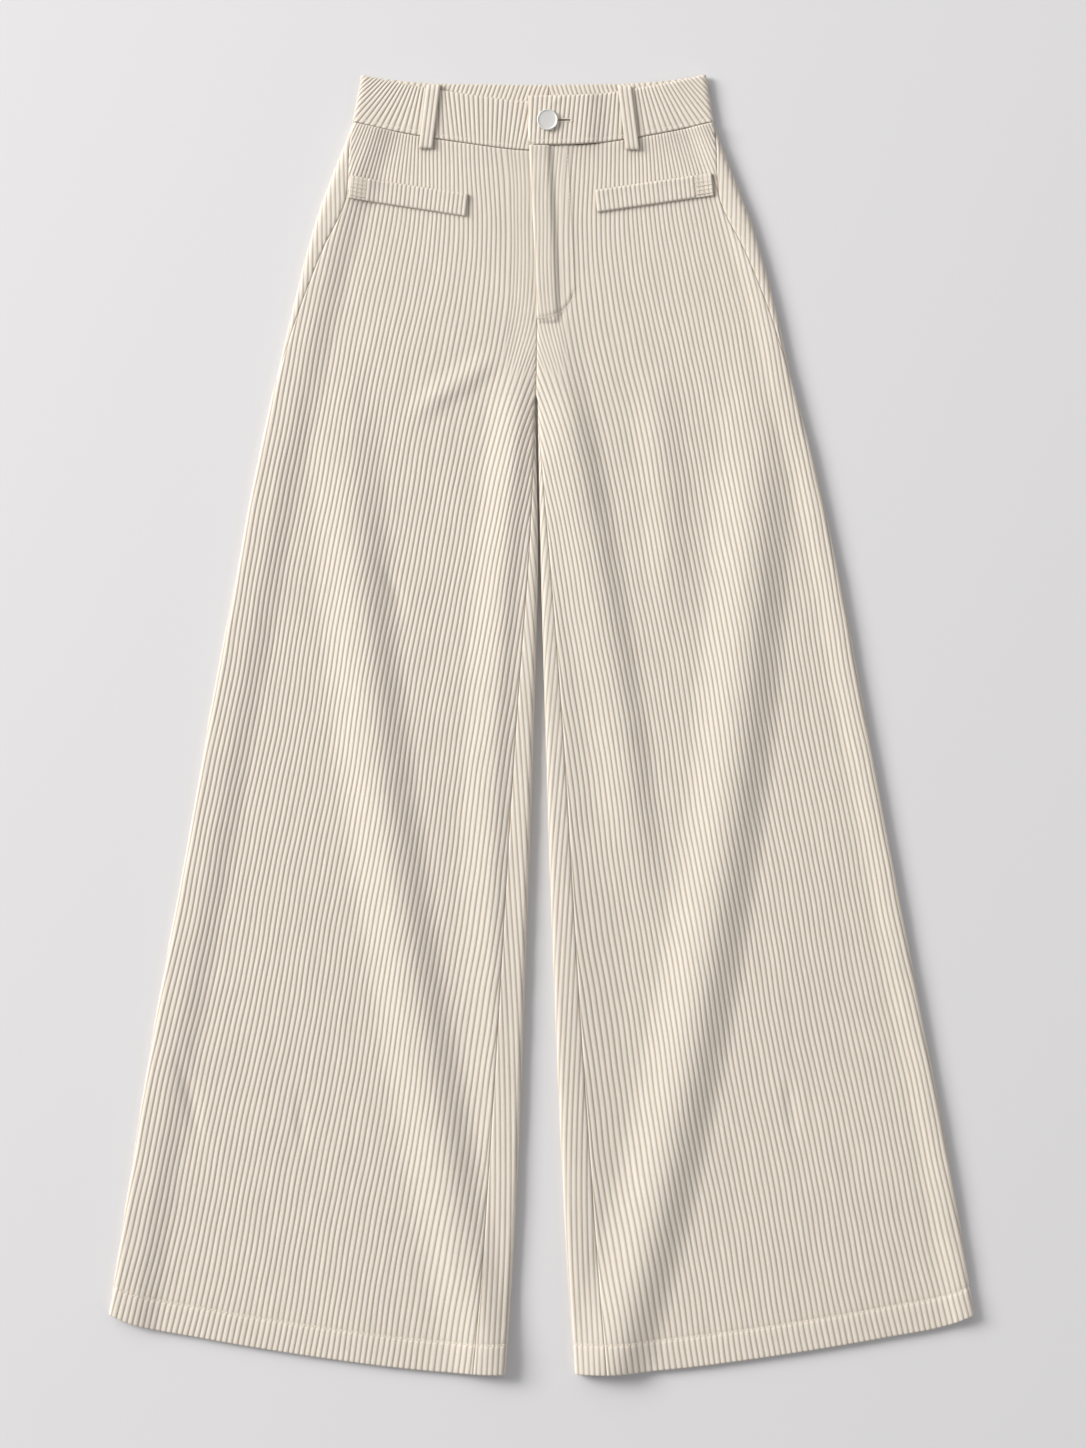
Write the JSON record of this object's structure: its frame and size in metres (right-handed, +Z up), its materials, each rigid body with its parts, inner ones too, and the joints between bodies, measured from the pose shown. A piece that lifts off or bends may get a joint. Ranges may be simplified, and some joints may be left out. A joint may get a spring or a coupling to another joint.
{
  "type": "corduroy trousers laid flat",
  "caption": "Wide-leg high-waisted corduroy trousers laid flat, front up, with a buttoned waistband, belt loops, a fly placket and slanted pocket welts.",
  "frame": {"origin": "under the middle of the garment's box, on the surface it lies on", "axes": "+Z up from the surface, +Y from hem to waist, +X towards the wearer's left"},
  "size_m": [0.7612, 1.1444, 0.0153],
  "materials": {
    "corduroy": "ribbed cotton corduroy with a short brushed pile",
    "button_metal": "satin metal"
  },
  "bodies": {
    "root": {"front_right": "corduroy", "back_right": "corduroy", "front_left": "corduroy", "back_left": "corduroy", "waistband_right": "corduroy", "waistband_left": "corduroy", "belt_loop_front_right": "corduroy", "belt_loop_front_left": "corduroy", "belt_loop_back_right": "corduroy", "belt_loop_back_centre": "corduroy", "belt_loop_back_left": "corduroy", "welt_right": "corduroy", "welt_left": "corduroy", "button": "button_metal"}
  },
  "joints": []
}
